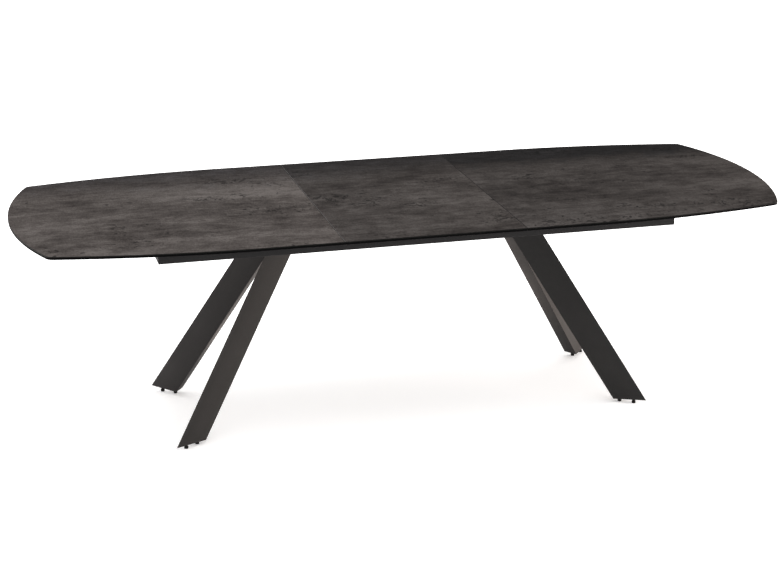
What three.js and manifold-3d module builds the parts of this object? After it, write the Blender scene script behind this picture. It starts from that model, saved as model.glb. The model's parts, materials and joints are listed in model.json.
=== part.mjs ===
// Extendable dining table: two barrel-shaped end tops slide apart over a steel frame, and a one-piece
// leaf rises between them. Millimetres, +Z up, +X along the table, origin on the floor at the centre.
// It is modelled fully open with the leaf raised.

import * as THREE from 'three';
import { mergeVertices } from 'three/addons/utils/BufferGeometryUtils.js';
import Module from 'manifold-3d';

const wasm = await Module();
wasm.setup();

// ---- driving dimensions ----

const TABLE = { height: 740, openLength: 2600, leafLength: 600, width: 1000 };
const GAP = 0.3;                 // assembly gap between pieces that touch
const SEAM = 1;                  // visible joint between the leaf and each end top
const ROUND_STEPS = 20;          // facets round a pin, stud or hole

const TOP = {
  ceramic: 4,                    // sintered-stone skin
  glass: 6,                      // tempered glass carrier under it
  sideStart: 525,                // distance from the middle at which the long edges start to bow
  sideRadius: 3150,              // their bow from there on
  endRadius: 1050,               // bow of its outer end
  cornerRadius: 28,
};

const FRAME = { halfLength: 867, halfWidth: 360, bottom: 668, height: 29, tubeWidth: 30, wall: 2 };

const GUIDE = { inner: 320, outer: 865, width: 28, height: 17, wall: 2, slot: 11, centre: 345 };
const RUNNER = { inner: 615, outer: 1045, web: 6, foot: 22, footHeight: 11, clearance: 2.7 };
const CROSSBAR = { starts: [500, 620, 1000], width: 40, height: 14, wall: 2 };
const CROSSBAR_NAMES = ['inner', 'middle', 'outer'];

// The sync linkage: a lever turns at the frame's centre, and rods of the same length as each of its arms
// pull the end tops, so that the end of each rod stays on the table's centre line.
const SYNC = { arm: 229.66, restAngle: 19, lever: 4, rod: 4, tongue: 4, bottom: 675, step: 5 };
const PIN = { shank: 5, head: 8, pivotShank: 8, pivotHead: 12, clearance: 0.3 };

// The leaf lift: four parallel swing arms between the long rails and two battens under the leaf.
const LIFT = { arm: 62, rise: 15.5, leafPivotX: 100, pivotZ: 690, spigot: 4, eye: 7.5, thick: 6 };
const BATTEN = { width: 30, height: 9, halfLength: 315, lugThick: 6, lugEye: 7 };

const BRIDGE = { inner: 300, outer: 490, thick: 8 };
const LEG_PLATE = { inner: 320, outer: 472, halfWidth: 138, thick: 5.7 };
const CENTRE_MEMBER = { halfWidth: 30, thick: 5.7 };

// A leg is a three-cornered tube. Its corners are given where it meets its foot plate, in the quarter with
// positive X and Y, and it leans towards the middle of the table by lean for each unit of height.
const LEG = {
  corners: [[824, 296], [718, 249], [749, 206]],
  lean: [0.58, 0.281],
  bottom: 15,
  wall: 2.5,
  plate: 5,
};
const FOOT = { places: [[788, 267.5], [747, 238]], radius: 7, chamfer: 1, stud: 3, studTop: 27 };

// ---- heights worked out from them ----

const CERAMIC_BOTTOM = TABLE.height - TOP.ceramic;
const GLASS_BOTTOM = CERAMIC_BOTTOM - TOP.glass;
const CARRIER_TOP = GLASS_BOTTOM - GAP;
const FRAME_TOP = FRAME.bottom + FRAME.height;
const RAIL_INNER = FRAME.halfWidth - FRAME.tubeWidth;
const GUIDE_BOTTOM = FRAME_TOP + GAP;
const LEAF_HALF = TABLE.leafLength / 2 - SEAM / 2;
const TOP_INNER = TABLE.leafLength / 2 + SEAM / 2;
const ROD_BOTTOM = SYNC.bottom + SYNC.step;
const TONGUE_BOTTOM = SYNC.bottom + 2 * SYNC.step - 0.5;
const REST_ANGLE = THREE.MathUtils.degToRad(SYNC.restAngle);
const ROD_END_X = 2 * SYNC.arm * Math.cos(REST_ANGLE);

// ---- materials ----

const MATERIALS = {
  ceramic: new THREE.MeshStandardMaterial({ color: 0x4f4a47, roughness: 0.55, metalness: 0 }),
  glass: new THREE.MeshStandardMaterial({ color: 0x0d0d0e, roughness: 0.15, metalness: 0 }),
  frame: new THREE.MeshStandardMaterial({ color: 0x2f2e30, roughness: 0.5, metalness: 0.4 }),
  leg: new THREE.MeshStandardMaterial({ color: 0x3a3734, roughness: 0.45, metalness: 0.4 }),
  aluminium: new THREE.MeshStandardMaterial({ color: 0x9a9c9e, roughness: 0.35, metalness: 0.9 }),
  zinc: new THREE.MeshStandardMaterial({ color: 0xa8aaab, roughness: 0.4, metalness: 0.9 }),
  foot: new THREE.MeshStandardMaterial({ color: 0x0a0a0a, roughness: 0.6, metalness: 0 }),
};

const table = new THREE.Group();

function addPiece(name, geometry, material, parent = table) {
  const piece = new THREE.Mesh(geometry, MATERIALS[material]);
  piece.name = name;
  parent.add(piece);
  return piece;
}

// ---- shape helpers ----

// Outlines run counter-clockwise, so that mirrored ones extrude the same way as the rest.
function polygon(points) {
  const outline = points.map(([u, v]) => new THREE.Vector2(u, v));
  if (THREE.ShapeUtils.isClockWise(outline)) {
    outline.reverse();
  }
  return new THREE.Shape(outline);
}

function rectangle(u0, u1, v0, v1) {
  return polygon([[u0, v0], [u1, v0], [u1, v1], [u0, v1]]);
}

function circle(u, v, radius) {
  const path = new THREE.Path();
  path.absarc(u, v, radius, 0, 2 * Math.PI, false);
  return path;
}

// A bar between two round ends, lying along +U from the origin
function link(length, radius, holeRadius) {
  const shape = new THREE.Shape();
  shape.moveTo(0, -radius);
  shape.lineTo(length, -radius);
  shape.absarc(length, 0, radius, -Math.PI / 2, Math.PI / 2, false);
  shape.lineTo(0, radius);
  shape.absarc(0, 0, radius, Math.PI / 2, 1.5 * Math.PI, false);
  if (holeRadius) {
    shape.holes.push(circle(0, 0, holeRadius), circle(length, 0, holeRadius));
  }
  return shape;
}

// Section in the XY plane, standing from z0 to z1
function prismZ(shape, z0, z1, curveSegments = 12) {
  const settings = { depth: z1 - z0, bevelEnabled: false, curveSegments };
  return new THREE.ExtrudeGeometry(shape, settings).translate(0, 0, z0);
}

// Section given in Y and Z, running from x0 to x1
function prismX(shape, x0, x1) {
  const turn = new THREE.Matrix4().set(0, 0, 1, 0, 1, 0, 0, 0, 0, 1, 0, 0, 0, 0, 0, 1);
  return prismZ(shape, x0, x1).applyMatrix4(turn);
}

// Section given in X and Z, running from y0 to y1
function prismY(shape, y0, y1) {
  return prismZ(shape, -y1, -y0).applyMatrix4(new THREE.Matrix4().makeRotationX(Math.PI / 2));
}

function box(x0, x1, y0, y1, z0, z1) {
  return new THREE.BoxGeometry(x1 - x0, y1 - y0, z1 - z0)
    .translate((x0 + x1) / 2, (y0 + y1) / 2, (z0 + z1) / 2);
}

function cylinderZ(x, y, z0, z1, radius) {
  return new THREE.CylinderGeometry(radius, radius, z1 - z0, ROUND_STEPS)
    .rotateX(Math.PI / 2)
    .translate(x, y, (z0 + z1) / 2);
}

function cylinderY(x, z, y0, y1, radius) {
  return new THREE.CylinderGeometry(radius, radius, y1 - y0, ROUND_STEPS).translate(x, (y0 + y1) / 2, z);
}

function turned(profile, x = 0, y = 0) {
  const points = profile.map(([radius, z]) => new THREE.Vector2(radius, z));
  return new THREE.LatheGeometry(points, ROUND_STEPS).rotateX(Math.PI / 2).translate(x, y, 0);
}

// ---- cutting and joining ----

function toSolid(geometry) {
  const bare = geometry.clone();
  bare.deleteAttribute('normal');
  bare.deleteAttribute('uv');
  const merged = mergeVertices(bare, 1e-4);
  const vertProperties = new Float32Array(merged.attributes.position.array);
  const triVerts = new Uint32Array(merged.index.array);
  return new wasm.Manifold(new wasm.Mesh({ numProp: 3, vertProperties, triVerts }));
}

function toGeometry(solid) {
  const mesh = solid.getMesh();
  const geometry = new THREE.BufferGeometry();
  geometry.setAttribute('position', new THREE.BufferAttribute(mesh.vertProperties, 3));
  geometry.setIndex(new THREE.BufferAttribute(mesh.triVerts, 1));
  return geometry;
}

function cut(geometry, ...tools) {
  return toGeometry(tools.reduce((solid, tool) => solid.subtract(toSolid(tool)), toSolid(geometry)));
}

function join(geometry, ...others) {
  return toGeometry(others.reduce((solid, other) => solid.add(toSolid(other)), toSolid(geometry)));
}

function keepInside(geometry, limit) {
  return toGeometry(toSolid(geometry).intersect(toSolid(limit)));
}

// ---- tops ----

// Centre of the corner round, which touches the long edge's circle and the end's circle from inside
function cornerCentre(sideCentre, endCentre) {
  const fromSide = TOP.sideRadius - TOP.cornerRadius;
  const fromEnd = TOP.endRadius - TOP.cornerRadius;
  const across = endCentre.clone().sub(sideCentre);
  const distance = across.length();
  const along = (fromSide ** 2 - fromEnd ** 2 + distance ** 2) / (2 * distance);
  const offset = Math.sqrt(fromSide ** 2 - along ** 2);
  across.normalize();
  const sideways = new THREE.Vector2(-across.y, across.x).multiplyScalar(offset);
  return sideCentre.clone().addScaledVector(across, along).add(sideways);
}

// Right-hand end top in plan: straight inner edge, long edges that are straight and then bow, rounded corners
// and a bowed end
function endTopShape() {
  const halfWidth = TABLE.width / 2;
  const side = new THREE.Vector2(TOP.sideStart, TOP.sideRadius - halfWidth);
  const end = new THREE.Vector2(TABLE.openLength / 2 - TOP.endRadius, 0);
  const corner = cornerCentre(side, end);
  const sideStop = Math.atan2(corner.y - side.y, corner.x - side.x);
  const endStart = Math.atan2(corner.y - end.y, corner.x - end.x);
  const shape = new THREE.Shape();
  shape.moveTo(TOP_INNER, -halfWidth);
  shape.absarc(side.x, side.y, TOP.sideRadius, -Math.PI / 2, sideStop, false);
  shape.absarc(corner.x, corner.y, TOP.cornerRadius, sideStop, endStart, false);
  shape.absarc(end.x, end.y, TOP.endRadius, endStart, -endStart, false);
  shape.absarc(corner.x, -corner.y, TOP.cornerRadius, -endStart, -sideStop, false);
  shape.absarc(side.x, -side.y, TOP.sideRadius, -sideStop, Math.PI / 2, false);
  shape.lineTo(TOP_INNER, halfWidth);
  return shape;
}

// Runner that hangs from an end top into its guide rail: top flange, web and sliding foot
function runnerSection(side) {
  const y = GUIDE.centre;
  const halfWeb = RUNNER.web / 2;
  const halfFoot = RUNNER.foot / 2;
  const footBottom = GUIDE_BOTTOM + RUNNER.clearance;
  const footTop = footBottom + RUNNER.footHeight;
  const flangeBottom = CARRIER_TOP - 2.7;
  const points = [
    [y - halfFoot, footBottom], [y + halfFoot, footBottom], [y + halfFoot, footTop],
    [y + halfWeb, footTop], [y + halfWeb, flangeBottom], [y + GUIDE.width / 2, flangeBottom],
    [y + GUIDE.width / 2, CARRIER_TOP], [y - halfWeb, CARRIER_TOP],
    [y - halfWeb, footTop], [y - halfFoot, footTop],
  ];
  return polygon(points.map(([u, v]) => [side * u, v]));
}

// Flat rectangular tube across the table, bonded under the glass
function crossbar(start) {
  const bottom = CARRIER_TOP - CROSSBAR.height;
  const wall = CROSSBAR.wall;
  const section = rectangle(start, start + CROSSBAR.width, bottom, CARRIER_TOP);
  const bore = [start + wall, start + CROSSBAR.width - wall, bottom + wall, CARRIER_TOP - wall];
  section.holes.push(rectangle(...bore));
  const reach = GUIDE.centre - RUNNER.web / 2 - GAP;
  return prismY(section, -reach, reach);
}

// Cranked strip that joins the middle crossbar to the sync rod
function syncTongue() {
  const low = TONGUE_BOTTOM;
  const top = CARRIER_TOP - CROSSBAR.height - GAP;
  const t = SYNC.tongue;
  const riser = CROSSBAR.starts[1] + 4;
  const section = polygon([
    [ROD_END_X, low], [riser + t, low], [riser + t, top - t], [riser + 32, top - t],
    [riser + 32, top], [riser, top], [riser, low + t], [ROD_END_X, low + t],
  ]);
  const strip = prismY(section, -20, 20);
  const nose = cylinderZ(ROD_END_X, 0, low, low + t, 20);
  const hole = cylinderZ(ROD_END_X, 0, low - 1, low + t + 1, PIN.shank + PIN.clearance);
  return cut(join(strip, nose), hole);
}

// Both end tops are the same; the left one is the right one turned half round.
function addEndTop(sideName, turn) {
  const group = new THREE.Group();
  group.rotation.z = turn;
  table.add(group);
  const outline = endTopShape();
  addPiece(`end_top_${sideName}_ceramic`, prismZ(outline, CERAMIC_BOTTOM, TABLE.height), 'ceramic', group);
  addPiece(`end_top_${sideName}_glass`, prismZ(outline, GLASS_BOTTOM, CERAMIC_BOTTOM - GAP), 'glass', group);
  for (const side of [-1, 1]) {
    const place = (side > 0) === (turn === 0) ? 'back' : 'front';
    const runner = prismX(runnerSection(side), RUNNER.inner, RUNNER.outer);
    addPiece(`runner_${sideName}_${place}`, runner, 'aluminium', group);
  }
  CROSSBAR.starts.forEach((start, i) => {
    addPiece(`crossbar_${sideName}_${CROSSBAR_NAMES[i]}`, crossbar(start), 'frame', group);
  });
  addPiece(`sync_tongue_${sideName}`, syncTongue(), 'zinc', group);
}

// ---- sync linkage ----

function rivetPin(x, y, bottom, top, shank, head) {
  const headThick = 1.5;
  return turned([
    [0, bottom - headThick - GAP], [head, bottom - headThick - GAP], [head, bottom - GAP],
    [shank, bottom - GAP], [shank, top + GAP], [head, top + GAP],
    [head, top + headThick], [0, top + headThick],
  ], x, y);
}

function syncLever() {
  const shape = new THREE.Shape();
  const endRadius = 15;
  shape.moveTo(SYNC.arm, -endRadius);
  shape.absarc(SYNC.arm, 0, endRadius, -Math.PI / 2, Math.PI / 2, false);
  shape.lineTo(0, 22);
  shape.lineTo(-SYNC.arm, endRadius);
  shape.absarc(-SYNC.arm, 0, endRadius, Math.PI / 2, 1.5 * Math.PI, false);
  shape.lineTo(0, -22);
  shape.holes.push(circle(0, 0, PIN.pivotShank + PIN.clearance));
  for (const end of [-1, 1]) {
    shape.holes.push(circle(end * SYNC.arm, 0, PIN.shank + PIN.clearance));
  }
  return prismZ(shape, SYNC.bottom, SYNC.bottom + SYNC.lever);
}

function addSyncLinkage() {
  const lever = addPiece('sync_lever', syncLever(), 'zinc');
  lever.rotation.z = -REST_ANGLE;
  const pivot = rivetPin(0, 0, FRAME.bottom, SYNC.bottom + SYNC.lever, PIN.pivotShank, PIN.pivotHead);
  addPiece('lever_pivot_pin', pivot, 'zinc');
  for (const [sideName, turn] of [['right', 0], ['left', Math.PI]]) {
    const group = new THREE.Group();
    group.rotation.z = turn;
    table.add(group);
    const leverEnd = new THREE.Vector2(SYNC.arm * Math.cos(REST_ANGLE), -SYNC.arm * Math.sin(REST_ANGLE));
    const section = link(SYNC.arm, 13, PIN.shank + PIN.clearance);
    const rod = addPiece(`sync_rod_${sideName}`, prismZ(section, ROD_BOTTOM, ROD_BOTTOM + SYNC.rod), 'zinc', group);
    rod.position.set(leverEnd.x, leverEnd.y, 0);
    rod.rotation.z = REST_ANGLE;
    const rodTop = ROD_BOTTOM + SYNC.rod;
    const leverPin = rivetPin(leverEnd.x, leverEnd.y, SYNC.bottom, rodTop, PIN.shank, PIN.head);
    addPiece(`lever_rod_pin_${sideName}`, leverPin, 'zinc', group);
    const tonguePin = rivetPin(ROD_END_X, 0, ROD_BOTTOM, TONGUE_BOTTOM + SYNC.tongue, PIN.shank, PIN.head);
    addPiece(`rod_tongue_pin_${sideName}`, tonguePin, 'zinc', group);
  }
}

// ---- leaf and its lift ----

const LIFT_ANGLE = Math.asin(LIFT.rise / LIFT.arm);
const FRAME_PIVOTS = [-1, 1].map((end) => end * LIFT.leafPivotX - LIFT.arm * Math.cos(LIFT_ANGLE));
const ARM_OUTER = RAIL_INNER - LIFT.thick;
const ARM_INNER = ARM_OUTER - LIFT.thick;

// Swing arm with its two welded spigots: one turns in the long rail, one in a batten's lug
function liftArm(pivotX, side) {
  const bar = prismZ(link(LIFT.arm, LIFT.eye), 0, LIFT.thick)
    .rotateX(Math.PI / 2)
    .rotateY(-LIFT_ANGLE)
    .translate(pivotX, side > 0 ? ARM_OUTER : -ARM_INNER, LIFT.pivotZ);
  const leafX = pivotX + LIFT.arm * Math.cos(LIFT_ANGLE);
  const leafZ = LIFT.pivotZ + LIFT.rise;
  const span = (a, b) => (side > 0 ? [a, b] : [-b, -a]);
  const frameSpigot = cylinderY(pivotX, LIFT.pivotZ, ...span(ARM_OUTER - 3, RAIL_INNER + 6), LIFT.spigot);
  const leafSpigot = cylinderY(leafX, leafZ, ...span(ARM_INNER - 11, ARM_INNER + 3), LIFT.spigot);
  return join(bar, frameSpigot, leafSpigot);
}

// Batten under the leaf with a lug hanging from each end
function leafBatten(x) {
  const bottom = CARRIER_TOP - BATTEN.height;
  const pivotZ = LIFT.pivotZ + LIFT.rise;
  const half = BATTEN.width / 2;
  const bar = box(x - half, x + half, -BATTEN.halfLength, BATTEN.halfLength, bottom, CARRIER_TOP);
  const lug = new THREE.Shape();
  lug.moveTo(x + half, bottom + 1);
  lug.lineTo(x - half, bottom + 1);
  lug.lineTo(x - BATTEN.lugEye, pivotZ);
  lug.absarc(x, pivotZ, BATTEN.lugEye, Math.PI, 2 * Math.PI, false);
  lug.holes.push(circle(x, pivotZ, LIFT.spigot + PIN.clearance));
  const lugInner = BATTEN.halfLength - BATTEN.lugThick;
  const back = prismY(lug, lugInner, BATTEN.halfLength);
  const front = prismY(lug, -BATTEN.halfLength, -lugInner);
  return join(bar, back, front);
}

function addLeaf() {
  const halfWidth = TABLE.width / 2;
  const ceramic = box(-LEAF_HALF, LEAF_HALF, -halfWidth, halfWidth, CERAMIC_BOTTOM, TABLE.height);
  const glass = box(-LEAF_HALF, LEAF_HALF, -halfWidth, halfWidth, GLASS_BOTTOM, CERAMIC_BOTTOM - GAP);
  addPiece('leaf_ceramic', ceramic, 'ceramic');
  addPiece('leaf_glass', glass, 'glass');
  FRAME_PIVOTS.forEach((pivotX, i) => {
    const place = ['left', 'right'][i];
    addPiece(`leaf_batten_${place}`, leafBatten(pivotX + LIFT.arm * Math.cos(LIFT_ANGLE)), 'frame');
    addPiece(`lift_arm_front_${place}`, liftArm(pivotX, -1), 'zinc');
    addPiece(`lift_arm_back_${place}`, liftArm(pivotX, 1), 'zinc');
  });
}

// ---- frame ----

// Rectangular tube along X with its outer face at +Y and both ends mitred for the next rail
function mitredRail(halfLength, outerY) {
  const { tubeWidth, wall, bottom } = FRAME;
  const innerY = outerY - tubeWidth;
  const section = rectangle(innerY, outerY, bottom, FRAME_TOP);
  section.holes.push(rectangle(innerY + wall, outerY - wall, bottom + wall, FRAME_TOP - wall));
  const outerX = halfLength - GAP / 2;
  const innerX = outerX - tubeWidth;
  const plan = polygon([[-innerX, innerY], [innerX, innerY], [outerX, outerY], [-outerX, outerY]]);
  return keepInside(prismX(section, -halfLength, halfLength), prismZ(plan, bottom - 1, FRAME_TOP + 1));
}

function addFrameRails() {
  for (const [place, turn] of [['back', 0], ['front', Math.PI]]) {
    const facing = Math.cos(turn);
    const holes = FRAME_PIVOTS.map((x) => {
      return cylinderY(facing * x, LIFT.pivotZ, RAIL_INNER - 1, RAIL_INNER + 3, LIFT.spigot + PIN.clearance);
    });
    const rail = cut(mitredRail(FRAME.halfLength, FRAME.halfWidth), ...holes);
    addPiece(`frame_rail_${place}`, rail, 'frame').rotation.z = turn;
  }
  for (const [place, turn] of [['right', -Math.PI / 2], ['left', Math.PI / 2]]) {
    const rail = mitredRail(FRAME.halfWidth, FRAME.halfLength);
    addPiece(`frame_end_${place}`, rail, 'frame').rotation.z = turn;
  }
}

// Slotted channel that a runner's foot slides in
function guideSection(side) {
  const y = GUIDE.centre;
  const half = GUIDE.width / 2;
  const { wall, slot } = GUIDE;
  const top = GUIDE_BOTTOM + GUIDE.height;
  const points = [
    [y - half, GUIDE_BOTTOM], [y + half, GUIDE_BOTTOM], [y + half, top], [y + slot / 2, top],
    [y + slot / 2, top - wall], [y + half - wall, top - wall], [y + half - wall, GUIDE_BOTTOM + wall],
    [y - half + wall, GUIDE_BOTTOM + wall], [y - half + wall, top - wall],
    [y - slot / 2, top - wall], [y - slot / 2, top], [y - half, top],
  ];
  return polygon(points.map(([u, v]) => [side * u, v]));
}

function addGuides() {
  for (const [place, side] of [['front', -1], ['back', 1]]) {
    addPiece(`guide_rail_right_${place}`, prismX(guideSection(side), GUIDE.inner, GUIDE.outer), 'aluminium');
    addPiece(`guide_rail_left_${place}`, prismX(guideSection(side), -GUIDE.outer, -GUIDE.inner), 'aluminium');
  }
}

// Flat bar across the frame that carries the sync lever
function centreMember() {
  const reach = RAIL_INNER - GAP;
  const { halfWidth, thick } = CENTRE_MEMBER;
  const bar = box(-halfWidth, halfWidth, -reach, reach, FRAME.bottom, FRAME.bottom + thick);
  const hole = PIN.pivotShank + PIN.clearance;
  return cut(bar, cylinderZ(0, 0, FRAME.bottom - 1, FRAME.bottom + thick + 1, hole));
}

function addCrossMembers() {
  addPiece('centre_member', centreMember(), 'frame');
  const reach = RAIL_INNER - GAP;
  for (const [place, side] of [['left', -1], ['right', 1]]) {
    const spanX = (inner, outer) => (side > 0 ? [inner, outer] : [-outer, -inner]);
    const bridgeX = spanX(BRIDGE.inner, BRIDGE.outer);
    const bridge = box(...bridgeX, -reach, reach, FRAME.bottom, FRAME.bottom + BRIDGE.thick);
    addPiece(`leg_bridge_${place}`, bridge, 'frame');
    const plateX = spanX(LEG_PLATE.inner, LEG_PLATE.outer);
    const plateTop = FRAME.bottom - GAP;
    const half = LEG_PLATE.halfWidth;
    const plate = box(...plateX, -half, half, plateTop - LEG_PLATE.thick, plateTop);
    addPiece(`leg_plate_${place}`, plate, 'leg');
  }
}

// ---- legs and feet ----

// Triangle moved inwards by the wall on all three sides
function insetTriangle(corners, wall) {
  const [a, b, c] = corners.map(([x, y]) => new THREE.Vector2(x, y));
  const sides = [b.distanceTo(c), c.distanceTo(a), a.distanceTo(b)];
  const perimeter = sides[0] + sides[1] + sides[2];
  const centre = new THREE.Vector2();
  [a, b, c].forEach((corner, i) => centre.addScaledVector(corner, sides[i] / perimeter));
  const twiceArea = Math.abs((b.x - a.x) * (c.y - a.y) - (c.x - a.x) * (b.y - a.y));
  const shrink = 1 - wall / (twiceArea / perimeter);
  return [a, b, c].map((corner) => corner.sub(centre).multiplyScalar(shrink).add(centre).toArray());
}

// Three-cornered tube closed at the foot by a welded plate with two holes for the feet's studs
function leg(sideX, sideY) {
  const mirror = (points) => points.map(([x, y]) => [sideX * x, sideY * y]);
  const top = FRAME.bottom - GAP - LEG_PLATE.thick - GAP;
  const outline = polygon(mirror(LEG.corners));
  const tubeSection = outline.clone();
  tubeSection.holes.push(polygon(mirror(insetTriangle(LEG.corners, LEG.wall))));
  const leanX = -sideX * LEG.lean[0];
  const leanY = -sideY * LEG.lean[1];
  const lean = new THREE.Matrix4().set(
    1, 0, leanX, -leanX * LEG.bottom,
    0, 1, leanY, -leanY * LEG.bottom,
    0, 0, 1, 0,
    0, 0, 0, 1,
  );
  const tube = prismZ(tubeSection, LEG.bottom, top).applyMatrix4(lean);
  const plate = prismZ(outline, LEG.bottom, LEG.bottom + LEG.plate).applyMatrix4(lean);
  const holes = mirror(FOOT.places).map(([x, y]) => {
    return cylinderZ(x, y, LEG.bottom - 1, LEG.bottom + LEG.plate + 0.5, FOOT.stud + PIN.clearance);
  });
  return cut(join(tube, plate), ...holes);
}

// Screw-in glide: round pad with a threaded stud
function foot(x, y) {
  const { radius, chamfer, stud, studTop } = FOOT;
  const padTop = LEG.bottom - GAP;
  return turned([
    [0, 0], [radius - chamfer, 0], [radius, chamfer], [radius, padTop - chamfer],
    [radius - chamfer, padTop], [stud, padTop], [stud, studTop], [0, studTop],
  ], x, y);
}

function addLegs() {
  for (const [alongName, sideX] of [['left', -1], ['right', 1]]) {
    for (const [acrossName, sideY] of [['front', -1], ['back', 1]]) {
      addPiece(`leg_${alongName}_${acrossName}`, leg(sideX, sideY), 'leg');
      FOOT.places.forEach(([x, y], i) => {
        const place = ['outer', 'inner'][i];
        addPiece(`foot_${alongName}_${acrossName}_${place}`, foot(sideX * x, sideY * y), 'foot');
      });
    }
  }
}

addEndTop('left', Math.PI);
addEndTop('right', 0);
addLeaf();
addFrameRails();
addCrossMembers();
addGuides();
addSyncLinkage();
addLegs();

export default table;
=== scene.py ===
import json
import math

import bmesh
import bpy
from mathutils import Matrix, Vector
from mathutils.geometry import convex_hull_2d


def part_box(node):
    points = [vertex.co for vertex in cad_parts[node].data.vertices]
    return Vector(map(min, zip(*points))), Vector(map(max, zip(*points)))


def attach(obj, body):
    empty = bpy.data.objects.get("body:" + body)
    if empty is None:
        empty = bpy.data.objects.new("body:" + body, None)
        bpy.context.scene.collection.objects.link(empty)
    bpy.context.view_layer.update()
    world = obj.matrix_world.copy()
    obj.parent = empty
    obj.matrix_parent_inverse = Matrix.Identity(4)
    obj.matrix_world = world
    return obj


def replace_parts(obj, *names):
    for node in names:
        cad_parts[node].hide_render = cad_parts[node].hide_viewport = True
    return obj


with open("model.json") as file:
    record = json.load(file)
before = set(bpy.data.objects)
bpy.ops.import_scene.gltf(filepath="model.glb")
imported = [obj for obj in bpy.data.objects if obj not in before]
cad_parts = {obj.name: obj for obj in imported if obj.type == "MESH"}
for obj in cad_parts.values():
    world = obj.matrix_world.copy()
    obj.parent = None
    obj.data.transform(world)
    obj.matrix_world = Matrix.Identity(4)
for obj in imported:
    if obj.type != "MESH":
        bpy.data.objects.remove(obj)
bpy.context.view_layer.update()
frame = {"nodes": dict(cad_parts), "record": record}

# Looks of the extendable dining table, in metres, in the frame of its CAD model: +Z up, +X along the table,
# with the origin on the floor at the middle.

SIDES = (("left", -1), ("right", 1))
PLACES = (("front", -1), ("back", 1))

# Outline of the end tops, as in the CAD model
SIDE_START = 0.525      # the long edges are straight as far as this
SIDE_RADIUS = 3.15
END_RADIUS = 1.05
CORNER_RADIUS = 0.028

# Small roundings, and walls
CERAMIC_ARRIS = 0.0009
GLASS_ARRIS = 0.0015
ARRIS_STEPS = 4
TUBE_CORNER = 0.0025
TUBE_WALL = 0.002
LEG_CUT = 0.0007        # how far a rounding takes a leg's corner back
LEG_WALL = 0.0025
FOOT_PLATE = (0.001, 0.005)     # underside and top, above the leg's lower end

# Weld beads: radius, and the height of their ripples as a part of it
LEG_WELD = 0.0022
MEMBER_WELD = 0.0018
MITRE_WELD = 0.00045
WELD_RIPPLE = 0.16
LEG_WELD_OFFSET = 0.0008        # of the bead's middle from the leg's faces

# ---- camera and light ----

CAMERA_PLACE = (-1.5955, -5.9279, 2.4250)
CAMERA_TILT = 71.61     # degrees up from straight down
CAMERA_TURN = -14.89    # degrees about Z
CAMERA_LENS = 85.98     # mm, for a frame 36 mm wide

# Name, place, aim, size, power in watts, colour
SOFTBOXES = (
    ("right_light", (7.0, -1.1, 0.65), (0, 0, 0.4), (4.5, 1.1), 860, (1, 0.86, 0.77)),
    ("left_light", (-5.0, 1.6, 0.5), (0, 0, 0.4), (2.5, 0.9), 125, (1, 0.91, 0.89)),
    ("floor_fill", (0, 0.3, 0.02), (0, 0.3, 1), (1.0, 0.6), 4.4, (1, 0.85, 0.76)),
    ("back_light", (0.4, 6.4, 2.5), (-0.3, 0, 0.74), (2.2, 1.2), 5, (1, 0.98, 0.95)),
)

SKY_FADE = (0.25, 0.9)          # height of a direction, 0 at the horizon and 1 overhead
SKY_STRENGTH = (0.04, 2.6)
FLOOR_RADIUS = 60
FLOOR_GAP = 0.0003              # between the floor and the feet
FLOOR_GLOW = 0.34


def add_camera():
    data = bpy.data.cameras.new("camera")
    data.lens = CAMERA_LENS
    data.sensor_width = 36
    data.clip_start = 0.1
    data.clip_end = 200
    camera = bpy.data.objects.new("camera", data)
    camera.location = CAMERA_PLACE
    camera.rotation_euler = (math.radians(CAMERA_TILT), 0, math.radians(CAMERA_TURN))
    bpy.context.scene.collection.objects.link(camera)
    bpy.context.scene.camera = camera


def add_softbox(name, place, aim, size, power, colour):
    data = bpy.data.lights.new(name, "AREA")
    data.shape = "RECTANGLE"
    data.size, data.size_y = size
    data.energy = power
    data.color = colour
    light = bpy.data.objects.new(name, data)
    light.location = place
    light.rotation_euler = (Vector(aim) - Vector(place)).to_track_quat("-Z", "Y").to_euler()
    light.visible_camera = False
    bpy.context.scene.collection.objects.link(light)


def add_sky():
    """Soft light from overhead that fades towards the horizon"""
    world = bpy.data.worlds.new("studio")
    world.use_nodes = True
    nodes, links = world.node_tree.nodes, world.node_tree.links
    direction = nodes.new("ShaderNodeTexCoord").outputs["Generated"]
    parts = nodes.new("ShaderNodeSeparateXYZ")
    links.new(direction, parts.inputs[0])
    fade = nodes.new("ShaderNodeMapRange")
    fade.interpolation_type = "SMOOTHSTEP"
    fade.inputs["From Min"].default_value, fade.inputs["From Max"].default_value = SKY_FADE
    fade.inputs["To Min"].default_value, fade.inputs["To Max"].default_value = SKY_STRENGTH
    links.new(parts.outputs["Z"], fade.inputs["Value"])
    background = nodes["Background"]
    background.inputs["Color"].default_value = (1, 1, 1, 1)
    links.new(fade.outputs["Result"], background.inputs["Strength"])
    bpy.context.scene.world = world


def add_floor():
    """Pale matt floor that glows a little, so that the shadows on it stay faint"""
    mesh = bpy.data.meshes.new("floor")
    shape = bmesh.new()
    bmesh.ops.create_circle(shape, cap_ends=True, radius=FLOOR_RADIUS, segments=96)
    shape.to_mesh(mesh)
    shape.free()
    floor = bpy.data.objects.new("floor", mesh)
    floor.location.z = -FLOOR_GAP
    bpy.context.scene.collection.objects.link(floor)
    paint = bpy.data.materials.new("floor")
    paint.use_nodes = True
    shader = paint.node_tree.nodes["Principled BSDF"]
    shader.inputs["Base Color"].default_value = (0.93, 0.93, 0.93, 1)
    shader.inputs["Emission Color"].default_value = (1, 1, 1, 1)
    shader.inputs["Emission Strength"].default_value = FLOOR_GLOW
    shader.inputs["Roughness"].default_value = 1
    shader.inputs["Specular IOR Level"].default_value = 0
    mesh.materials.append(paint)


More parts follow.
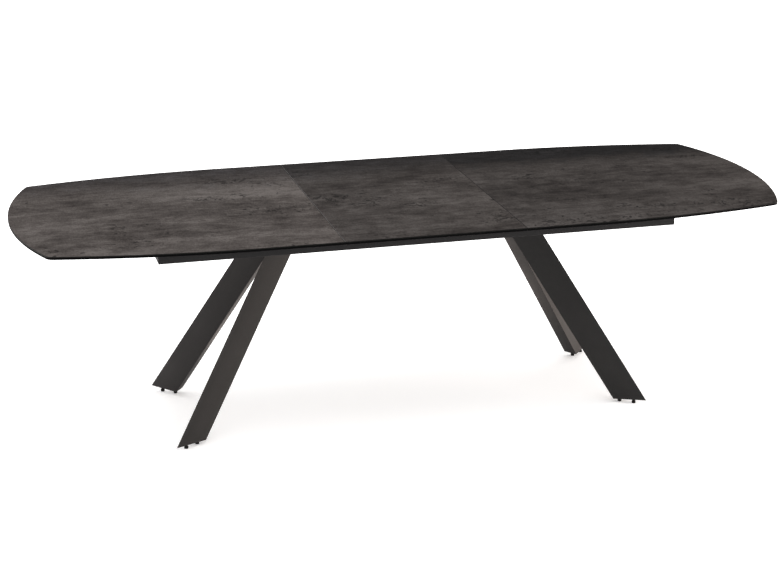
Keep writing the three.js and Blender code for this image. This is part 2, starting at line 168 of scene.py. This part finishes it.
def add_studio():
    bpy.context.scene.view_settings.view_transform = "Standard"
    add_camera()
    add_sky()
    add_floor()
    for softbox in SOFTBOXES:
        add_softbox(*softbox)


# ---- node graphs ----


class Graph:
    """Node tree of one material, with a short call for each kind of node that the finishes use"""

    def __init__(self, name):
        self.material = bpy.data.materials.new(name)
        self.material.use_nodes = True
        self.tree = self.material.node_tree
        self.shader = self.tree.nodes["Principled BSDF"]
        self.place = self.tree.nodes.new("ShaderNodeTexCoord").outputs["Object"]

    def add(self, kind, **sockets):
        node = self.tree.nodes.new("ShaderNode" + kind)
        for name, value in sockets.items():
            self.put(node.inputs[name.replace("_", " ")], value)
        return node

    def put(self, socket, value):
        if isinstance(value, bpy.types.NodeSocket):
            self.tree.links.new(value, socket)
        else:
            socket.default_value = value

    def set(self, **sockets):
        for name, value in sockets.items():
            self.put(self.shader.inputs[name.replace("_", " ")], value)

    def spread(self, scale=(1, 1, 1), shift=(0, 0, 0)):
        """Place on the piece, multiplied by scale and moved by shift"""
        return self.add("Mapping", Vector=self.place, Scale=scale, Location=shift).outputs[0]

    def noise(self, vector, scale, detail=2, roughness=0.5, distortion=0):
        """Noise from 0 to 1 with scale cells to the metre"""
        node = self.add("TexNoise", Vector=vector, Scale=scale, Detail=detail, Roughness=roughness)
        node.inputs["Distortion"].default_value = distortion
        return node.outputs[0]

    def math(self, operation, a, b=0.0):
        node = self.tree.nodes.new("ShaderNodeMath")
        node.operation = operation
        self.put(node.inputs[0], a)
        self.put(node.inputs[1], b)
        return node.outputs[0]

    def total(self, *terms):
        """Sum of weight * (value - 0.5), around a half"""
        result = 0.5
        for value, weight in terms:
            centred = self.math("SUBTRACT", value, 0.5)
            result = self.math("ADD", self.math("MULTIPLY", centred, weight), result)
        return result

    def step(self, value, low, high, start=0.0, end=1.0):
        """Smooth change from start to end as value goes from low to high"""
        node = self.add("MapRange", Value=value)
        node.interpolation_type = "SMOOTHSTEP"
        for name, number in (("From Min", low), ("From Max", high), ("To Min", start), ("To Max", end)):
            node.inputs[name].default_value = number
        return node.outputs[0]

    def ramp(self, value, *stops):
        node = self.add("ValToRGB", Fac=value)
        elements = node.color_ramp.elements
        while len(elements) < len(stops):
            elements.new(0.5)
        for element, (position, colour) in zip(elements, stops):
            element.position = position
            element.color = (*colour, 1)
        return node.outputs[0]

    def mix(self, factor, a, b, blend="MIX"):
        node = self.tree.nodes.new("ShaderNodeMix")
        node.data_type = "RGBA"
        node.blend_type = blend
        self.put(node.inputs["Factor"], factor)
        for socket, colour in ((node.inputs["A"], a), (node.inputs["B"], b)):
            self.put(socket, colour if isinstance(colour, bpy.types.NodeSocket) else (*colour, 1))
        return node.outputs["Result"]

    def bump(self, height, distance, strength=1.0):
        node = self.add("Bump", Height=height, Distance=distance, Strength=strength)
        return node.outputs[0]


# ---- finishes ----


# Colours of the ceramic's decor at a tone of 1, linear
DECOR_DARK = (0.0150, 0.0122, 0.0113)
DECOR_MIDDLE = (0.0410, 0.0352, 0.0326)
DECOR_LIGHT = (0.0760, 0.0672, 0.0632)
MARK_TONE = 0.3         # of a crack or fleck against the dark colour
MARK_COVER = 0.85
# Cold tint of the painted shade towards the back edge
BACK_SHADE_TINT = (0.97, 1.0, 1.1)
HIGHLIGHT_LIFT = 0.14       # painted highlight: how much lighter the patch is
PATCH_CALM = 0.06       # how much rarer its marks are


def toned(colour, tone):
    return tuple(tone * c for c in colour)


def highlight_patch_mask(g, mottle, centre, reach):
    """1 inside a ragged ellipse about centre that reaches so far in X and Y, and 0 outside"""
    scale = [1 / reach[0], 1 / reach[1], 0]
    offset = [-centre[0] / reach[0], -centre[1] / reach[1], 0]
    away = g.add("VectorMath", Vector=g.spread(scale=scale, shift=offset))
    away.operation = "LENGTH"
    ragged = g.math("ADD", away.outputs["Value"], g.math("SUBTRACT", mottle, 0.5))
    return g.step(ragged, 0.2, 1.1, 1.0, 0.0)


def decor_marks(g, slab, fade):
    """Short dark cracks and flecks, where fade is high"""
    lines = g.math("ABSOLUTE", g.math("SUBTRACT", g.noise(slab, 22, 3, 0.55, 0.7), 0.5))
    cracks = g.math("MULTIPLY", g.step(lines, 0.01, 0.035, 1.0, 0.0), g.step(fade, 0.575, 0.62))
    spots = g.step(g.noise(slab, 60, 2, 0.5, 0.4), 0.62, 0.69)
    flecks = g.math("MULTIPLY", spots, g.step(fade, 0.48, 0.55))
    return g.math("MAXIMUM", cracks, flecks)


def ceramic_decor(name, shift, tone, back_shade_tone, back_shade_band, highlight_patch=None):
    """Dark oxide decor: soft clouds drawn out along X, mottling, streaks, fibres, grain and short dark marks.
    Towards the back edge, over the back band of Y, a painted shade with a cold tint darkens it to the back
    tone times as light. The patch, given by its centre and reach, is calmer and has a painted highlight that
    lightens it."""
    g = Graph(name)
    slab = g.spread(scale=(0.9, 1, 1), shift=shift)
    long = g.spread(scale=(0.4, 1, 1), shift=shift)
    clouds = g.noise(long, 3.4, 4, 0.55, 0.3)
    mottle = g.noise(slab, 14, 7, 0.62, 0.2)
    streaks = g.noise(g.spread(scale=(0.3, 1, 1), shift=shift), 30, 5, 0.6)
    fibres = g.noise(g.spread(scale=(0.22, 1, 1), shift=shift), 95, 4, 0.65)
    grain = g.noise(g.spread(scale=(1, 0.45, 1), shift=shift), 210, 3, 0.7)
    value = g.total((clouds, 1.1), (mottle, 0.85), (streaks, 0.5), (fibres, 0.65), (grain, 0.7))
    fade = g.noise(long, 7, 4, 0.6, 0.2)
    # The patch has rarer marks and a painted highlight that lightens it
    if highlight_patch:
        highlight_mask = highlight_patch_mask(g, mottle, *highlight_patch)
        value = g.math("ADD", value, g.math("MULTIPLY", highlight_mask, HIGHLIGHT_LIFT))
        fade = g.math("SUBTRACT", fade, g.math("MULTIPLY", highlight_mask, PATCH_CALM))
    dark, middle, light = [toned(colour, tone) for colour in (DECOR_DARK, DECOR_MIDDLE, DECOR_LIGHT)]
    base = g.ramp(value, (0.15, dark), (0.5, middle), (0.85, light))
    marks = decor_marks(g, slab, fade)
    colour = g.mix(g.math("MULTIPLY", marks, MARK_COVER), base, toned(dark, MARK_TONE))
    # Painted shade: darker and colder towards the back edge, over the back band of Y
    across = g.add("SeparateXYZ", Vector=g.place).outputs["Y"]
    drift = g.math("ADD", across, g.math("SUBTRACT", g.total((clouds, 0.3), (mottle, 0.25)), 0.5))
    back_shaded = g.mix(1.0, colour, toned(BACK_SHADE_TINT, back_shade_tone), "MULTIPLY")
    colour = g.mix(g.step(drift, *back_shade_band), colour, back_shaded)
    relief = g.math("SUBTRACT", g.total((grain, 0.5), (mottle, 0.3)), g.math("MULTIPLY", marks, 0.6))
    g.set(Base_Color=colour, Roughness=g.step(value, 0.2, 0.8, 0.62, 0.5), Normal=g.bump(relief, 0.00025))
    g.shader.inputs["Specular IOR Level"].default_value = 0.03
    return g.material


def edge_and_painted_arris_finish(name, dark, light, specular):
    """Finely ground edge of a plate, also used for the arrises with painted highlight and painted shade"""
    g = Graph(name)
    grain = g.noise(g.place, 900, 3, 0.6)
    colour = g.ramp(grain, (0.3, dark), (0.7, light))
    g.set(Base_Color=colour, Roughness=g.step(grain, 0.3, 0.7, 0.6, 0.5), Normal=g.bump(grain, 0.0001))
    g.shader.inputs["Specular IOR Level"].default_value = specular
    return g.material


def black_glass():
    """Glass painted black, with a faint haze"""
    g = Graph("black_glass")
    haze = g.noise(g.place, 6, 3, 0.6)
    colour = g.ramp(haze, (0.3, (0.0025, 0.0025, 0.0027)), (0.7, (0.0045, 0.0045, 0.0047)))
    g.set(Base_Color=colour, Roughness=g.step(haze, 0.3, 0.7, 0.16, 0.26))
    g.shader.inputs["Specular IOR Level"].default_value = 0.2
    return g.material


def powder_coat(name, dark, light):
    """Fine-textured matt paint on steel"""
    g = Graph(name)
    peel = g.noise(g.place, 620, 3, 0.55)
    drift = g.noise(g.place, 7, 4, 0.6)
    colour = g.ramp(g.total((drift, 0.7), (peel, 0.5)), (0.3, dark), (0.7, light))
    roughness = g.step(g.total((drift, 0.8), (peel, 0.4)), 0.3, 0.7, 0.6, 0.72)
    g.set(Base_Color=colour, Roughness=roughness, Normal=g.bump(peel, 0.00012, 0.7))
    g.shader.inputs["Specular IOR Level"].default_value = 0.1
    return g.material


def extruded_aluminium():
    """Anodised aluminium with die lines along X"""
    g = Graph("extruded_aluminium")
    lines = g.noise(g.spread(scale=(0.01, 1, 1)), 1400, 3, 0.6)
    haze = g.noise(g.place, 14, 4, 0.6)
    dull, bright = (0.34, 0.345, 0.35), (0.52, 0.525, 0.53)
    colour = g.ramp(g.total((lines, 0.6), (haze, 0.5)), (0.3, dull), (0.7, bright))
    g.set(Base_Color=colour, Roughness=g.step(haze, 0.3, 0.7, 0.3, 0.44), Normal=g.bump(lines, 0.00005))
    g.shader.inputs["Metallic"].default_value = 1
    return g.material


def zinc_plate():
    """Zinc with cold and yellowish patches"""
    g = Graph("zinc_plate")
    haze = g.noise(g.place, 18, 5, 0.65)
    flecks = g.noise(g.place, 420, 3, 0.6)
    back_shaded, warm = (0.38, 0.40, 0.43), (0.56, 0.55, 0.50)
    colour = g.ramp(g.total((haze, 1.0), (flecks, 0.3)), (0.3, back_shaded), (0.7, warm))
    g.set(Base_Color=colour, Roughness=g.step(haze, 0.3, 0.7, 0.26, 0.42), Normal=g.bump(flecks, 0.00005))
    g.shader.inputs["Metallic"].default_value = 1
    return g.material


def moulded_plastic():
    """Black plastic with a fine spark texture"""
    g = Graph("moulded_plastic")
    spark = g.noise(g.place, 1500, 2, 0.5)
    colour = g.ramp(spark, (0.3, (0.0015, 0.0015, 0.0015)), (0.7, (0.003, 0.003, 0.003)))
    g.set(Base_Color=colour, Roughness=g.step(spark, 0.3, 0.7, 0.45, 0.6), Normal=g.bump(spark, 0.00008))
    g.shader.inputs["Specular IOR Level"].default_value = 0.15
    return g.material


# The back tones and bands paint shade, darker and colder, along each slab's back edge
FINISHES = {
    # The left slab's tone of 1.22 against 0.82 and 0.73 is partly its own tone and partly a painted highlight
    "ceramic_left": ceramic_decor(
        "ceramic_left", (3.1, 0.4, 0), 1.22, 0.52, (0.22, 0.46), ((-0.46, 0.08), (0.5, 0.16))),
    "ceramic_leaf": ceramic_decor("ceramic_leaf", (7.7, 5.2, 0), 0.82, 0.44, (0.16, 0.46)),
    "ceramic_right": ceramic_decor("ceramic_right", (1.9, 8.6, 0), 0.73, 0.26, (0.2, 0.36)),
    # Arris finishes at the seams: a painted highlight on the leaf's left arris, a painted shade on the right
    # top's
    "painted_highlight_arris": edge_and_painted_arris_finish("painted_highlight_arris", (0.085, 0.081, 0.078), (0.125, 0.12, 0.116), 0.1),
    "painted_shade_arris": edge_and_painted_arris_finish("painted_shade_arris", (0.016, 0.0153, 0.0147), (0.026, 0.025, 0.024), 0.05),
    "ceramic_edge": edge_and_painted_arris_finish("ceramic_edge", (0.003, 0.003, 0.003), (0.007, 0.0066, 0.0063), 0.05),
    "glass": black_glass(),
    "glass_edge": edge_and_painted_arris_finish("glass_edge", (0.0015, 0.0015, 0.0016), (0.003, 0.003, 0.0031), 0.01),
    "frame_paint": powder_coat("frame_paint", (0.0125, 0.0123, 0.0128), (0.0170, 0.0168, 0.0174)),
    "leg_paint": powder_coat("leg_paint", (0.0188, 0.0178, 0.0174), (0.0258, 0.0246, 0.0241)),
    "aluminium": extruded_aluminium(),
    "zinc": zinc_plate(),
    "foot_plastic": moulded_plastic(),
}

# ---- mesh helpers ----


def make_piece(name, points, faces, body, slot, finishes, face_finish=None, sharp=35):
    """New piece from points and faces; face_finish gives each face's place in finishes"""
    mesh = bpy.data.meshes.new(name)
    mesh.from_pydata([tuple(p) for p in points], [], faces)
    for finish in finishes:
        mesh.materials.append(FINISHES[finish])
    if face_finish:
        mesh.polygons.foreach_set("material_index", face_finish)
    shape = bmesh.new()
    shape.from_mesh(mesh)
    bmesh.ops.recalc_face_normals(shape, faces=shape.faces)
    shape.to_mesh(mesh)
    shape.free()
    mesh.shade_smooth()
    mesh.set_sharp_from_angle(angle=math.radians(sharp))
    piece = bpy.data.objects.new(name, mesh)
    bpy.context.scene.collection.objects.link(piece)
    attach(piece, body)
    return piece


def arc(centre, radius, start, end, steps):
    """Points along a circle, both ends included"""
    angles = [start + (end - start) * i / steps for i in range(steps + 1)]
    return [Vector((centre[0] + radius * math.cos(a), centre[1] + radius * math.sin(a))) for a in angles]


def inset(outline, distance):
    """Closed outline, counter-clockwise, moved inwards"""
    moved = []
    for i, point in enumerate(outline):
        before = (point - outline[i - 1]).normalized()
        after = (outline[(i + 1) % len(outline)] - point).normalized()
        normals = [Vector((-d.y, d.x)) for d in (before, after)]
        moved.append(point + (normals[0] + normals[1]) * distance / (1 + normals[0].dot(normals[1])))
    return moved


def rounded(corners, radius=None, cut=None, steps=5):
    """Closed outline, counter-clockwise, with each corner rounded to a radius or cut back by a depth"""
    outline = []
    for i, corner in enumerate(corners):
        back = (corners[i - 1] - corner).normalized()
        ahead = (corners[(i + 1) % len(corners)] - corner).normalized()
        half = back.angle(ahead) / 2
        if cut:
            radius = cut / (1 / math.sin(half) - 1)
        centre = corner + (back + ahead).normalized() * radius / math.sin(half)
        reach = radius / math.tan(half)
        first, last = corner + back * reach - centre, corner + ahead * reach - centre
        start = math.atan2(first.y, first.x)
        turn = (math.atan2(last.y, last.x) - start) % (2 * math.pi)
        outline += arc(centre, radius, start, start + turn, steps)
    return outline


def skin(rings, closed=False, first=0):
    """Quads between rings of equal length; closed joins the last ring to the first one"""
    count = len(rings[0])
    faces = []
    for r in range(len(rings) - (0 if closed else 1)):
        low, high = first + r * count, first + (r + 1) % len(rings) * count
        for i in range(count):
            j = (i + 1) % count
            faces.append((low + i, low + j, high + j, high + i))
    return faces


def capped(rings):
    """Points and faces of a closed body through the rings, with a face on the first and the last"""
    count = len(rings[0])
    points = [p for ring in rings for p in ring]
    caps = [tuple(range(count))[::-1], tuple(range(len(points) - count, len(points)))]
    return points, skin(rings) + caps


def tube(outer, inner):
    """Points and faces of a hollow body between outer rings and inner rings, open at both ends"""
    rings = outer + inner[::-1]
    return [p for ring in rings for p in ring], skin(rings, closed=True)


def level(outline, z):
    return [Vector((p.x, p.y, z)) for p in outline]


def turned(profile, centre, steps=40):
    """Points and faces of a turned body. A profile row is a radius, a height and, for a hexagon, True."""
    rings = []
    for row in profile:
        ring = []
        for i in range(steps):
            angle = 2 * math.pi * i / steps
            radius = row[0]
            if len(row) > 2:
                radius /= math.cos((angle + math.pi / 6) % (math.pi / 3) - math.pi / 6)
            ring.append(Vector(centre) + Vector((radius * math.cos(angle), radius * math.sin(angle), row[1])))
        rings.append(ring)
    return capped(rings)


def bead(path, radius, ripple=0.0, pitch=0.004, sides=8):
    """Points and faces of a closed bead along a closed path, with its ripples a pitch apart"""
    rings = []
    travelled = 0.0
    for i, point in enumerate(path):
        ahead = path[(i + 1) % len(path)]
        along = (ahead - path[i - 1]).normalized()
        side = along.orthogonal().normalized()
        up = along.cross(side)
        swell = radius * (1 + ripple * math.sin(2 * math.pi * travelled / pitch))
        angles = [2 * math.pi * k / sides for k in range(sides)]
        rings.append([point + (side * math.cos(a) + up * math.sin(a)) * swell for a in angles])
        travelled += (ahead - point).length
    return [p for ring in rings for p in ring], skin(rings, closed=True)


def dense(path, gap):
    """The closed path with points no further apart than gap"""
    result = []
    for i, point in enumerate(path):
        ahead = path[(i + 1) % len(path)]
        steps = max(1, math.ceil((ahead - point).length / gap))
        result += [point.lerp(ahead, k / steps) for k in range(steps)]
    return result


# ---- tops and leaf ----


def end_top_outline(inner_x, end_x, half_width):
    """Right-hand end top in plan, counter-clockwise from the front of its straight edge"""
    side = Vector((SIDE_START, SIDE_RADIUS - half_width))
    end = Vector((end_x - END_RADIUS, 0))
    from_side, from_end = SIDE_RADIUS - CORNER_RADIUS, END_RADIUS - CORNER_RADIUS
    across = end - side
    along = (from_side ** 2 - from_end ** 2 + across.length_squared) / (2 * across.length)
    sideways = Vector((-across.y, across.x)).normalized() * math.sqrt(from_side ** 2 - along ** 2)
    corner = side + across.normalized() * along + sideways
    side_stop = math.atan2(corner.y - side.y, corner.x - side.x)
    end_start = math.atan2(corner.y, corner.x - end.x)
    outline = [Vector((inner_x, -half_width))]
    outline += arc(side, SIDE_RADIUS, -math.pi / 2, side_stop, 60)
    outline += arc(corner, CORNER_RADIUS, side_stop, end_start, 12)[1:]
    outline += arc(end, END_RADIUS, end_start, 0, 60)[1:]
    mirrored = [Vector((p.x, -p.y)) for p in outline[-2::-1]]
    return outline + mirrored


def slab(name, node, outline, arris, body, slot, finishes):
    """Plate with rounded arrises, in place of a CAD plate. Its finishes are for the flat faces, the edges
    and, if there are three, the upper arris along its straight left edge, where the third finish paints a
    highlight on the leaf and a shade on the right top. A ceramic's underside has the finish of its edges."""
    face, edge, seam = 0, 1, 2
    low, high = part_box(node)
    angles = [math.pi / 2 * i / ARRIS_STEPS for i in range(ARRIS_STEPS + 1)]
    rings = []
    for a in angles:
        rings.append(level(inset(outline, arris * (1 - math.sin(a))), low.z + arris * (1 - math.cos(a))))
    for a in angles[::-1]:
        rings.append(level(inset(outline, arris * (1 - math.sin(a))), high.z - arris * (1 - math.cos(a))))
    points, faces = capped(rings)
    underside = edge if node.endswith("ceramic") else face
    face_finish = [edge] * (len(faces) - 2) + [underside, face]
    left = min(p.x for p in outline)
    for i, point in enumerate(outline):
        if len(finishes) > seam and point.x == left and outline[(i + 1) % len(outline)].x == left:
            for ring in range(len(angles), len(rings) - 1):
                face_finish[ring * len(outline) + i] = seam
    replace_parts(make_piece(name, points, faces, body, slot, finishes, face_finish), node)


def add_tops():
    low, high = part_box("end_top_right_glass")
    right = end_top_outline(low.x, high.x, high.y)
    outlines = {"right": right, "left": [-p for p in right]}
    for side, outline in outlines.items():
        body = "end_top_" + side
        finishes = ["ceramic_" + side, "ceramic_edge"]
        # The right top's left arris carries a painted shade
        if side == "right":
            finishes.append("painted_shade_arris")
        slab(body + "_slab", body + "_ceramic", outline, CERAMIC_ARRIS, body, "ceramic", finishes)
        slab(body + "_carrier", body + "_glass", outline, GLASS_ARRIS, body, "glass", ["glass", "glass_edge"])
    low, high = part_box("leaf_glass")
    outline = [Vector(p) for p in ((low.x, low.y), (high.x, low.y), (high.x, high.y), (low.x, high.y))]
    # The leaf's left arris carries a painted highlight
    slab("leaf_slab", "leaf_ceramic", outline, CERAMIC_ARRIS, "leaf", "ceramic",
         ["ceramic_leaf", "ceramic_edge", "painted_highlight_arris"])
    slab("leaf_carrier", "leaf_glass", outline, GLASS_ARRIS, "leaf", "glass", ["glass", "glass_edge"])


# ---- frame ----


def rail_section(outer_y, width, low_z, high_z):
    """Outer and inner outline of a rectangular tube, in Y and Z"""
    corners = [(outer_y - width, low_z), (outer_y, low_z), (outer_y, high_z), (outer_y - width, high_z)]
    outer = rounded([Vector(c) for c in corners], TUBE_CORNER)
    centre = Vector((outer_y - width / 2, (low_z + high_z) / 2))
    half = Vector((width / 2 - TUBE_WALL, (high_z - low_z) / 2 - TUBE_WALL))
    signs = ((-1, -1), (1, -1), (1, 1), (-1, 1))
    inner = rounded([centre + Vector((sx * half.x, sy * half.y)) for sx, sy in signs], TUBE_CORNER / 2)
    return outer, inner


def add_rail(node, along, across):
    """Tube with mitred ends in place of a CAD rail on one side of the frame. Along and across are the places
    of its two horizontal axes in a vector."""
    low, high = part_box(node)
    side = 1 if high[across] > -low[across] else -1
    width = high[across] - low[across]
    outer_y, half_length = max(high[across], -low[across]), high[along]
    rings = {}
    for kind, section in zip(("outer", "inner"), rail_section(outer_y, width, low.z, high.z)):
        rings[kind] = []
        for end in (-1, 1):
            ring = []
            for p in section:
                point = Vector((0, 0, p.y))
                point[across] = side * p.x
                point[along] = end * (half_length - (outer_y - p.x))
                ring.append(point)
            rings[kind].append(ring)
    points, faces = tube(rings["outer"], rings["inner"])
    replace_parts(make_piece(node + "_tube", points, faces, "frame", "frame_paint", ["frame_paint"]), node)


def add_corner_seams():
    """Ground weld round each mitre of the frame"""
    low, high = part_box("frame_rail_front")
    width = high.y - low.y
    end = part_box("frame_end_right")[1].x
    outer, _ = rail_section(-low.y, width, low.z, high.z)
    for side, sign_x in SIDES:
        for place, sign_y in PLACES:
            path = [Vector((sign_x * (end - (-low.y - p.x)), sign_y * p.x, p.y)) for p in outer]
            seam = bead(path, MITRE_WELD)
            make_piece(f"mitre_weld_{side}_{place}", *seam, "frame", "frame_paint", ["frame_paint"], sharp=60)


def add_frame():
    for place, _ in PLACES:
        add_rail("frame_rail_" + place, along=0, across=1)
    for side, _ in SIDES:
        add_rail("frame_end_" + side, along=1, across=0)
    add_corner_seams()


# ---- legs and feet ----

# Radius and height; in the pad the radius is a part of the pad's, and True makes a hexagon
PAD = ((0.84, 0), (0.95, 0.0003), (1, 0.0010), (1, 0.0072), (0.97, 0.0078), (0.88, 0.0082), (0.62, 0.0083))
JAM_NUT = ((0.0042, 0.0084, True), (0.0046, 0.0088, True), (0.0046, 0.0137, True), (0.0042, 0.0142, True))
THREAD_START = 0.0143
THREAD_PITCH = 0.001
THREAD_ROOT = 0.0026
THREAD_CREST = 0.0030
STUD_END = 0.0022


def leg_section(node, z):
    """Corners of a leg's outline at height z, counter-clockwise"""
    corners = [v.co for v in frame["nodes"][node].data.vertices if abs(v.co.z - z) < 1e-4]
    points = [Vector(p) for p in sorted({(round(c.x, 5), round(c.y, 5)) for c in corners})]
    hull = [points[i] for i in convex_hull_2d(points)]
    if sum(hull[i - 1].cross(hull[i]) for i in range(len(hull))) < 0:
        hull.reverse()
    return hull


def add_leg(node, side, place):
    """Three-cornered tube with rounded corners and a foot plate set a little inside it, and its weld"""
    low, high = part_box(node)
    bottom, top = leg_section(node, low.z), leg_section(node, high.z)
    lean = (sum(top, Vector((0, 0))) - sum(bottom, Vector((0, 0)))) / len(top) / (high.z - low.z)

    def at(outline, z):
        return [Vector((*(p + lean * (z - low.z)), z)) for p in outline]

    skirt = rounded(bottom, cut=LEG_CUT)
    hollow = rounded(inset(bottom, LEG_WALL), cut=LEG_CUT / 2)
    plate_bottom, plate_top = [low.z + height for height in FOOT_PLATE]
    rings = [
        at(hollow, plate_bottom), at(hollow, low.z), at(skirt, low.z), at(skirt, high.z),
        at(hollow, high.z), at(hollow, plate_top),
    ]
    points, faces = capped(rings)
    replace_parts(make_piece(node + "_tube", points, faces, "frame", "leg_paint", ["leg_paint"]), node)
    path = dense(at(inset(skirt, -LEG_WELD_OFFSET), high.z), gap=0.001)
    seam = bead(path, LEG_WELD, WELD_RIPPLE)
    make_piece(f"leg_weld_{side}_{place}", *seam, "frame", "leg_paint", ["leg_paint"], sharp=80)


def add_foot(node):
    """Screw-in glide: round pad, jam nut and threaded stud"""
    low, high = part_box(node)
    centre = ((low.x + high.x) / 2, (low.y + high.y) / 2, low.z)
    radius = (high.x - low.x) / 2
    height = high.z - low.z
    profile = [(radius * part, z) for part, z in PAD]
    profile += JAM_NUT
    for i in range(math.ceil((height - THREAD_START) / THREAD_PITCH)):
        root = THREAD_START + THREAD_PITCH * i
        profile += [(THREAD_ROOT, root), (THREAD_CREST, root + THREAD_PITCH / 2)]
    points, faces = turned(profile + [(STUD_END, height)], centre)
    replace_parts(make_piece(node + "_glide", points, faces, node, "foot_plastic", ["foot_plastic"]), node)


def add_legs():
    for side, _ in SIDES:
        for place, _ in PLACES:
            add_leg(f"leg_{side}_{place}", side, place)
            for position in ("outer", "inner"):
                add_foot(f"foot_{side}_{place}_{position}")


# ---- fasteners ----

# Button heads, each from the floor of its hexagon socket outwards: radius, height and True for a hexagon
BOLT_HEAD = (
    (0.0010, -0.0012, True), (0.0022, -0.0012, True), (0.0022, -0.0038, True), (0.0040, -0.0040),
    (0.0058, -0.0032), (0.0068, -0.0018), (0.0070, -0.0004), (0.0070, 0),
)
SCREW_HEAD = (
    (0.0008, 0.0007, True), (0.0015, 0.0007, True), (0.0015, 0.0020, True), (0.0023, 0.0021),
    (0.0031, 0.0015), (0.0035, 0.0007), (0.0035, 0),
)
BOLT_EDGE = 0.012           # from a bolt to the leg plate's edges
SCREW_SPREAD = 0.010        # from a screw to the middle of its crossbar
RUNNER_WEB_FACE = 0.348     # outer face of the runners' webs, from the middle of the table


def add_leg_bolts():
    """Bolts up through each leg plate into its bridge"""
    for side, _ in SIDES:
        low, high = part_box("leg_plate_" + side)
        columns = (low.x + BOLT_EDGE, high.x - BOLT_EDGE)
        rows = (low.y + BOLT_EDGE, 0, high.y - BOLT_EDGE)
        for i, (x, y) in enumerate((x, y) for x in columns for y in rows):
            points, faces = turned(BOLT_HEAD, (x, y, low.z))
            make_piece(f"leg_bolt_{side}_{i + 1}", points, faces, "frame", "zinc", ["zinc"])


def body_of(node):
    """Moving body that a CAD node rides on"""
    groups = frame["record"]["behaviour"]["bodies"]
    return next(body for body, nodes in groups.items() if node in nodes)


def add_rivets():
    """Domed rivets in place of the linkage's plain pins"""
    bodies = {"lever_pivot_pin": "frame"}
    for side, _ in SIDES:
        for node in (f"lever_rod_pin_{side}", f"rod_tongue_pin_{side}"):
            bodies[node] = body_of(node)
    for node, body in bodies.items():
        low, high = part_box(node)
        centre = ((low.x + high.x) / 2, (low.y + high.y) / 2, low.z)
        head = (high.x - low.x) / 2
        shank = head * 0.63
        thick = 0.0015
        height = high.z - low.z
        profile = [
            (head * 0.55, 0), (head * 0.85, thick * 0.35), (head, thick * 0.8), (head, thick), (shank, thick),
            (shank, height - thick), (head, height - thick), (head, height - thick * 0.8),
            (head * 0.85, height - thick * 0.35), (head * 0.55, height),
        ]
        points, faces = turned(profile, centre)
        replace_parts(make_piece(node + "_rivet", points, faces, body, "zinc", ["zinc"]), node)


def add_welds():
    """Weld round each end of the members between the long rails"""
    for node in ("centre_member", "leg_bridge_left", "leg_bridge_right"):
        low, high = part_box(node)
        for place, sign in PLACES:
            y = sign * (high.y - MEMBER_WELD / 2)
            corners = ((low.x, low.z), (high.x, low.z), (high.x, high.z), (low.x, high.z))
            path = dense([Vector((x, y, z)) for x, z in corners], gap=0.0013)
            seam = bead(path, MEMBER_WELD, WELD_RIPPLE)
            make_piece(f"{node}_weld_{place}", *seam, "frame", "frame_paint", ["frame_paint"], sharp=80)


def add_runner_screws():
    """Screws through the runners' webs into the ends of the crossbars"""
    for side, _ in SIDES:
        body = "end_top_" + side
        for place, sign in PLACES:
            for bar in ("middle", "outer"):
                low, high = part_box(f"crossbar_{side}_{bar}")
                for i, shift in enumerate((-SCREW_SPREAD, SCREW_SPREAD)):
                    x, z = (low.x + high.x) / 2 + shift, (low.z + high.z) / 2
                    points, faces = turned(SCREW_HEAD, (0, 0, 0), 24)
                    points = [Vector((x + p.x, sign * (RUNNER_WEB_FACE + p.z), z + p.y)) for p in points]
                    name = f"runner_screw_{side}_{place}_{bar}_{i + 1}"
                    make_piece(name, points, faces, body, "zinc", ["zinc"])


# ---- finishes of the CAD pieces that stay ----

# By the start of a node's name
CAD_FINISHES = {
    "runner": "aluminium",
    "guide": "aluminium",
    "crossbar": "frame_paint",
    "centre": "frame_paint",
    "leaf_batten": "frame_paint",
    "leg_bridge": "frame_paint",
    "leg_plate": "leg_paint",
    "sync": "zinc",
    "lift": "zinc",
}


MERGE_DISTANCE = 0.00002
BROKEN_EDGE = 0.0006
BROKEN_EDGE_FROM = 40       # degrees between the faces


def finish_cad_pieces():
    """Finish and slightly broken edges on the CAD pieces that nothing replaces"""
    for name, piece in frame["nodes"].items():
        finish = next((finish for start, finish in CAD_FINISHES.items() if name.startswith(start)), None)
        if not finish:
            continue
        piece.data.materials.clear()
        piece.data.materials.append(FINISHES[finish])
        weld = piece.modifiers.new("weld", "WELD")
        weld.merge_threshold = MERGE_DISTANCE
        bevel = piece.modifiers.new("bevel", "BEVEL")
        bevel.width = BROKEN_EDGE
        bevel.segments = 2
        bevel.limit_method = "ANGLE"
        bevel.angle_limit = math.radians(BROKEN_EDGE_FROM)
        bevel.harden_normals = True


add_studio()
add_tops()
add_frame()
add_legs()
add_leg_bolts()
add_rivets()
add_welds()
add_runner_screws()
finish_cad_pieces()
